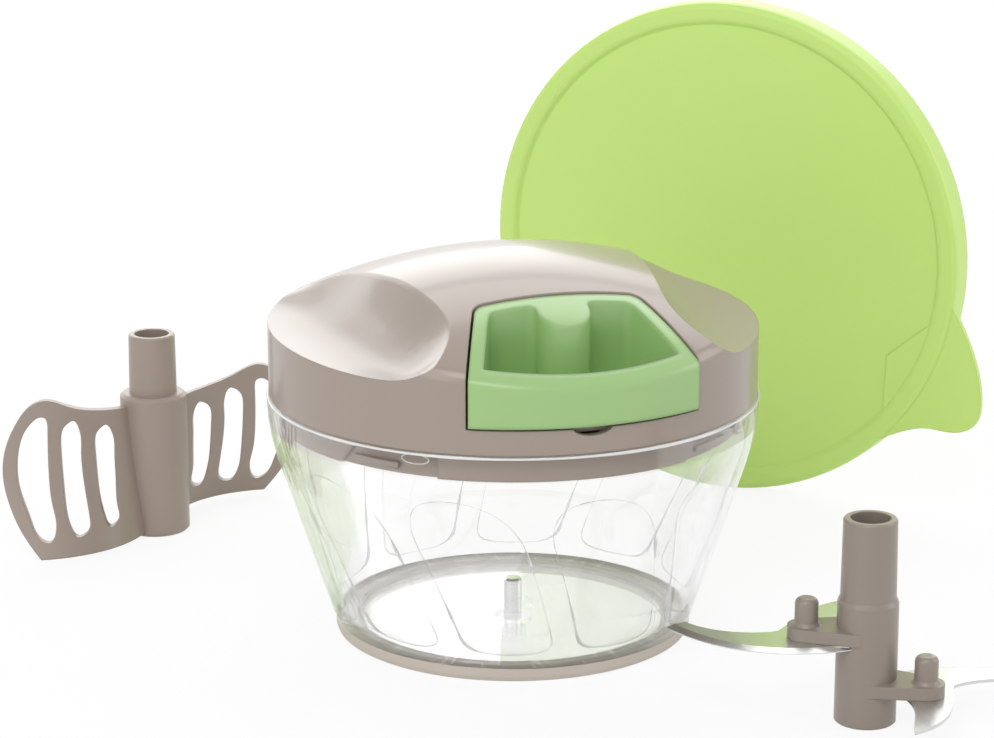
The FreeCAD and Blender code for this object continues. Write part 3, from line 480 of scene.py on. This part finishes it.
def braid():
    made = Finish("braid")
    strands = made.noise(made.place(), cordBraid["strandScale"], detail=2.0)
    return made.finish({
        "Base Color": made.blendColours(strands, cordBraid["deep"], cordBraid["pale"]),
        "Roughness": cordBraid["rough"] + (strands - 0.5) * cordBraid["roughSpread"],
        "Normal": made.bump(strands, cordBraid["depth"]),
    })


def dress(names, material):
    for name in names:
        slots = nodes[name].material_slots
        for slot in slots:
            slot.material = material
        if not slots:
            nodes[name].data.materials.append(material)


screwNames = [f"cover_screw_{number}" for number in (1, 2, 3, 4)]
dress(["bowl"], clearBowl())
dress(["foot_ring"], softFoot())
dress(["housing_top", "inner_cover"], coat(taupeGloss, "taupeGloss"))
dress(["pull_handle"], coat(handleGreen, "handleGreen"))
dress(["storage_lid"], coat(limeLid, "limeLid"))
dress(["blade_shaft"], coat(insertTaupe, "insertTaupe"))
dress(["paddle"], coat(paddleTaupe, "paddleTaupe"))
dress(["cord_reel", "drive_spindle", "reel_washer", "cord_guide"], coat(reelWhite, "reelWhite"))
dress(["blade_upper", "blade_lower"], brushedSteel("bladeSteel", bladeSteel))
dress(["centre_pin", "recoil_spring", "cord_crimp"], brushedSteel("pinSteel", pinSteel))
dress(screwNames + ["reel_screw"], brushedSteel("zincScrew", zincScrew))
dress(["lid_seal"], sealSilicone())
cordFinish = braid()
dress(["cord_winding"], cordFinish)
print("finishes made:", len(bpy.data.materials))


# Geometry Nodes

class Grower:  # a Geometry Nodes tree under construction, with named inputs for its sizes
    def __init__(self, name, sizes):
        self.tree = bpy.data.node_groups.new(name, "GeometryNodeTree")
        face = self.tree.interface
        face.new_socket("Geometry", in_out="INPUT", socket_type="NodeSocketGeometry")
        for label, value in sizes.items():
            kind = "NodeSocketInt" if isinstance(value, int) else "NodeSocketFloat"
            face.new_socket(label, in_out="INPUT", socket_type=kind).default_value = value
        face.new_socket("Geometry", in_out="OUTPUT", socket_type="NodeSocketGeometry")
        self.entry = self.tree.nodes.new("NodeGroupInput")
        self.exit = self.tree.nodes.new("NodeGroupOutput")

    def given(self, label):
        return Wire(self.tree, self.entry.outputs[label])

    def add(self, kind, inputs=None):
        return addNode(self.tree, kind, None, inputs, 0)

    def close(self, geometry, material):
        real = self.add("GeometryNodeRealizeInstances", inputs={0: geometry})
        dressed = self.add("GeometryNodeSetMaterial", inputs={"Geometry": real, "Material": material})
        self.tree.links.new(dressed.socket, self.exit.inputs[0])
        return self.tree


def grow(name, mesh, tree, sizes):
    # Runs the tree on the mesh and keeps the result as a plain mesh.
    seed = bpy.data.objects.new(name + "Seed", mesh)
    bpy.context.collection.objects.link(seed)
    modifier = seed.modifiers.new("grow", "NODES")
    modifier.node_group = tree
    for item in tree.interface.items_tree:
        if item.in_out == "INPUT" and item.name in sizes:
            modifier[item.identifier] = sizes[item.name]
    seed.update_tag()
    view = bpy.context.evaluated_depsgraph_get()
    made = bpy.data.meshes.new_from_object(seed.evaluated_get(view))
    made.name = name
    bpy.data.objects.remove(seed)
    for face in made.polygons:
        face.use_smooth = True
    piece = bpy.data.objects.new(name, made)
    bpy.context.collection.objects.link(piece)
    return piece


def lineMesh(name, points, closed):
    mesh = bpy.data.meshes.new(name)
    count = len(points)
    edges = [(i, (i + 1) % count) for i in range(count if closed else count - 1)]
    mesh.from_pydata(points, edges, [])
    return mesh


beadForm = {"sides": 10, "patchStart": 0.44, "patchContrast": 6}


def ringTree(name, sizes, material):
    # Sweeps a round bead of varying thickness along the line, then sets copies of it round the bowl's axis.
    grower = Grower(name, sizes)
    line = grower.add("GeometryNodeMeshToCurve", inputs={"Mesh": grower.given("Geometry")})
    patches = grower.add("ShaderNodeTexNoise", inputs={
        "Vector": grower.add("GeometryNodeInputPosition"),
        "Scale": grower.given("Patch scale"),
        "Detail": 1.0,
    })
    strong = ((patches - beadForm["patchStart"]) * beadForm["patchContrast"]).limited()
    swell = (1 - grower.given("Fade")) + strong * grower.given("Fade")
    bead = grower.add("GeometryNodeCurvePrimitiveCircle", inputs={
        "Resolution": beadForm["sides"],
        "Radius": grower.given("Bead"),
    })
    tube = grower.add("GeometryNodeCurveToMesh", inputs={
        "Curve": line,
        "Profile Curve": bead,
        "Scale": swell,
    })
    turn = grower.add("GeometryNodeInputIndex") * math.tau / grower.given("Copies")
    copies = grower.add("GeometryNodeInstanceOnPoints", inputs={
        "Points": grower.add("GeometryNodePoints", inputs={"Count": grower.given("Copies")}),
        "Instance": tube,
        "Rotation": grower.add("ShaderNodeCombineXYZ", inputs={"Z": turn}),
    })
    return grower.close(copies, material)


# The lines along the clear moulding's panels, lugs and rim, which are part of the bowl, coloured with painted
# shade and painted highlight

bowlPanels = {
    "copies": 10,
    "bead": 0.00044,
    "fade": 0.90,
    "patch": 95.0,
    "footZ": 0.006,
    "footRun": 0.005,
    "springZ": 0.038,
    "topZ": 0.054,
    "depth": 0.0010,
    "sink": 0.0003,
    "rib": 0.0034,
    "twistDeg": 16.0,
    "firstDeg": -72.0,
    "archPinch": 0.8,
    "steps": 26,
}

bowlForm = {
    "footR": 0.0464,
    "kneeR": 0.0629,
    "kneeZ": 0.050,
    "rimR": 0.065,
    "rimZ": 0.065,
    "wall": 0.0022,
    "rimWall": 0.0032,
    "bandZ": 0.046,
    "bandBlend": 0.011,
}

lugRing = {
    "copies": 4,
    "bead": 0.00022,
    "fade": 0.3,
    "patch": 200.0,
    "r": 0.0616,
    "z": 0.0624,
    "wide": 0.0037,
    "high": 0.00125,
    "firstDeg": -131.1,
    "steps": 40,
}

# A near-white ring on the rim's top edge, at the seam under the lid: a painted highlight
rimBead = {
    "copies": 1,
    "bead": 0.00045,
    "fade": 0.3,
    "patch": 40.0,
    "r": 0.06478,
    "z": 0.06470,
    "steps": 180,
}


def ringSpot(radius, angle, z):
    return (radius * math.cos(angle), radius * math.sin(angle), z)


def bowlOuter(z):
    form = bowlForm
    if z <= form["kneeZ"]:
        return form["footR"] + (form["kneeR"] - form["footR"]) * z / form["kneeZ"]
    part = (z - form["kneeZ"]) / (form["rimZ"] - form["kneeZ"])
    return form["kneeR"] + (form["rimR"] - form["kneeR"]) * (1 - (1 - part) ** 2)


def bowlInner(z):
    form = bowlForm
    share = min(max((z - form["bandZ"]) / form["bandBlend"], 0.0), 1.0)
    share = share * share * (3 - 2 * share)
    return (bowlOuter(z) - form["wall"]) * (1 - share) + (form["rimR"] - form["rimWall"]) * share


def panelEdge(side, z):
    # Where a panel's hollow meets the wall on one side, at a height.
    panel = bowlPanels
    height = (z - panel["footZ"]) / (panel["topZ"] - panel["footZ"])
    arch = max((z - panel["springZ"]) / (panel["topZ"] - panel["springZ"]), 0.0)
    start = min((z - panel["footZ"]) / panel["footRun"], 1.0)
    full = (panel["depth"] + panel["sink"]) * min(start, 1 - arch * arch)
    radius = bowlInner(z)
    half = math.pi / panel["copies"] - panel["rib"] / 2 / radius
    half *= math.sqrt(1 - panel["archPinch"] * arch * arch) * math.sqrt(max(full - panel["sink"], 0.0) / full)
    angle = math.radians(panel["firstDeg"] - panel["twistDeg"] * height) + side * half
    return ringSpot(radius, angle, z)


def bowlLines(name, points, settings, material):
    sizes = {
        "Bead": settings["bead"],
        "Copies": settings["copies"],
        "Fade": settings["fade"],
        "Patch scale": settings["patch"],
    }
    piece = grow(name, lineMesh(name + "Run", points, True), ringTree(name, sizes, material), sizes)
    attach(piece, "bowl")
    return piece


def makePanelLines(material):
    panel = bowlPanels
    share = panel["sink"] / (panel["depth"] + panel["sink"])
    low = panel["footZ"] + panel["footRun"] * share
    high = panel["springZ"] + (panel["topZ"] - panel["springZ"]) * math.sqrt(1 - share)
    steps = panel["steps"]
    heights = [low + (high - low) * (1 - math.cos(math.pi * (i + 0.5) / steps)) / 2 for i in range(steps)]
    points = [panelEdge(-1, z) for z in heights] + [panelEdge(1, z) for z in reversed(heights)]
    return bowlLines("panelLines", points, panel, material)


def makeLugLines(material):
    lug = lugRing
    points = []
    for i in range(lug["steps"]):
        around = math.tau * i / lug["steps"]
        angle = math.radians(lug["firstDeg"]) + lug["wide"] * math.cos(around) / lug["r"]
        points.append(ringSpot(lug["r"], angle, lug["z"] + lug["high"] * math.sin(around)))
    return bowlLines("lugLines", points, lug, material)


def makeRimHighlight(material):
    ring = rimBead
    turns = [math.tau * i / ring["steps"] for i in range(ring["steps"])]
    points = [ringSpot(ring["r"], turn, ring["z"]) for turn in turns]
    return bowlLines("rimBead", points, ring, material)


# The rim ring and the lug outlines are drawn as painted highlight
paintedHighlightEdge = edgeShadeAndHighlight("rimPaintedHighlight", rimPaintedHighlight)
bowlEdges = [
    makePanelLines(edgeShadeAndHighlight("panelShadeAndHighlight", panelShadeAndHighlight)),
    makeLugLines(paintedHighlightEdge),
    makeRimHighlight(paintedHighlightEdge),
]
print("bowl edges:", [len(piece.data.polygons) for piece in bowlEdges], "faces")


# The cord's lead, which is drawn out of the lid with the handle

cordLead = {
    "radius": 0.0007,
    "height": 0.07950,
    "start": (0.0153, -0.0134),
    "elbow": (0.0, -0.0302),
    "end": -0.0393,
    "bend": 0.0024,
    "bendSteps": 10,
    "leaves": -0.0332,
    "arrives": -0.0396,
    "steps": 420,
    "sides": 14,
}


def makeCordLead():
    lead = cordLead
    corner = Vector((*lead["elbow"], lead["height"]))
    first = Vector((*lead["start"], lead["height"]))
    last = Vector((0.0, lead["end"], lead["height"]))
    near = corner + (first - corner).normalized() * lead["bend"]
    far = corner + (last - corner).normalized() * lead["bend"]
    spots = [first]
    for i in range(lead["bendSteps"] + 1):
        share = i / lead["bendSteps"]
        spots.append(near * (1 - share) ** 2 + corner * 2 * share * (1 - share) + far * share ** 2)
    spots += [far.lerp(last, (i + 1) / lead["steps"]) for i in range(lead["steps"])]
    sides = lead["sides"]
    up = Vector((0, 0, 1))
    verts = []
    for i, spot in enumerate(spots):
        ahead = (spots[min(i + 1, len(spots) - 1)] - spots[max(i - 1, 0)]).normalized()
        side = ahead.cross(up).normalized()
        for j in range(sides):
            turn = math.tau * j / sides
            verts.append(spot + (side * math.cos(turn) + up * math.sin(turn)) * lead["radius"])
    faces = []
    for i in range(len(spots) - 1):
        for j in range(sides):
            here = i * sides + j
            beside = i * sides + (j + 1) % sides
            faces.append((here, here + sides, beside + sides, beside))
    faces.append(tuple(range(sides)))
    faces.append(tuple(reversed(range((len(spots) - 1) * sides, len(spots) * sides))))
    mesh = bpy.data.meshes.new("cordLead")
    mesh.from_pydata(verts, [], faces)
    mesh.polygons.foreach_set("use_smooth", [True] * len(mesh.polygons))
    mesh.materials.append(cordFinish)
    piece = bpy.data.objects.new("cordLead", mesh)
    bpy.context.collection.objects.link(piece)
    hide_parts("pull_cord")
    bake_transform(piece)


makeCordLead()
print("cord lead made")


# The studio

def seenDirectly(tree):
    # 1 for rays from the camera, also by way of a reflection or through the bowl.
    # 0 for the light that a surface gathers.
    rays = tree.nodes.new("ShaderNodeLightPath")
    seen = Wire(tree, rays.outputs["Is Camera Ray"]) + Wire(tree, rays.outputs["Is Glossy Ray"])
    return (seen + Wire(tree, rays.outputs["Is Transmission Ray"])).limited()


def setStudio():
    scene = bpy.context.scene
    scene.view_settings.view_transform = "Standard"
    world = bpy.data.worlds.new("studio")
    scene.world = world
    world.use_nodes = True
    tree = world.node_tree
    tree.nodes.clear()
    level = seenDirectly(tree) * (studio["backdropLevel"] - studio["worldLevel"]) + studio["worldLevel"]
    background = tree.nodes.new("ShaderNodeBackground")
    plug(tree, background.inputs[0], (1.0, 1.0, 1.0))
    plug(tree, background.inputs[1], level)
    output = tree.nodes.new("ShaderNodeOutputWorld")
    tree.links.new(background.outputs[0], output.inputs[0])


def makeFloor():
    half = studio["floorSize"] / 2
    mesh = bpy.data.meshes.new("floor")
    corners = [(-half, -half, 0), (half, -half, 0), (half, half, 0), (-half, half, 0)]
    mesh.from_pydata(corners, [], [(0, 1, 2, 3)])
    floor = bpy.data.objects.new("floor", mesh)
    bpy.context.collection.objects.link(floor)
    made = Finish("paleFloor")
    grey = studio["floorGrey"]
    paper = made.add("ShaderNodeBsdfDiffuse", inputs={"Color": (grey, grey, grey)})
    glow = made.add("ShaderNodeEmission", inputs={"Color": (1, 1, 1), "Strength": 1.0})
    bright = made.add("ShaderNodeMixShader", inputs={0: studio["floorGlow"], 1: paper, 2: glow})
    both = made.add("ShaderNodeMixShader", inputs={0: seenDirectly(made.tree), 1: paper, 2: bright})
    made.tree.links.new(both.socket, made.output.inputs[0])
    mesh.materials.append(made.material)


def aimAt(item, aim):
    item.rotation_euler = (Vector(aim) - item.location).to_track_quat("-Z", "Y").to_euler()


def hangSoftBoxes():
    for name, box in softBoxes.items():
        light = bpy.data.lights.new(name, "AREA")
        light.shape = "RECTANGLE"
        light.size, light.size_y = box["size"]
        light.energy = box["watts"]
        lamp = bpy.data.objects.new(name, light)
        lamp.location = box["place"]
        bpy.context.collection.objects.link(lamp)
        aimAt(lamp, box["aim"])


def setCamera():
    lens = bpy.data.cameras.new("camera")
    lens.lens = stand["lens"]
    lens.sensor_width = stand["sensorWidth"]
    lens.clip_start = stand["nearest"]
    camera = bpy.data.objects.new("camera", lens)
    camera.location = stand["place"]
    bpy.context.collection.objects.link(camera)
    aimAt(camera, stand["aim"])
    bpy.context.scene.camera = camera


setStudio()
makeFloor()
hangSoftBoxes()
setCamera()
print("studio set")
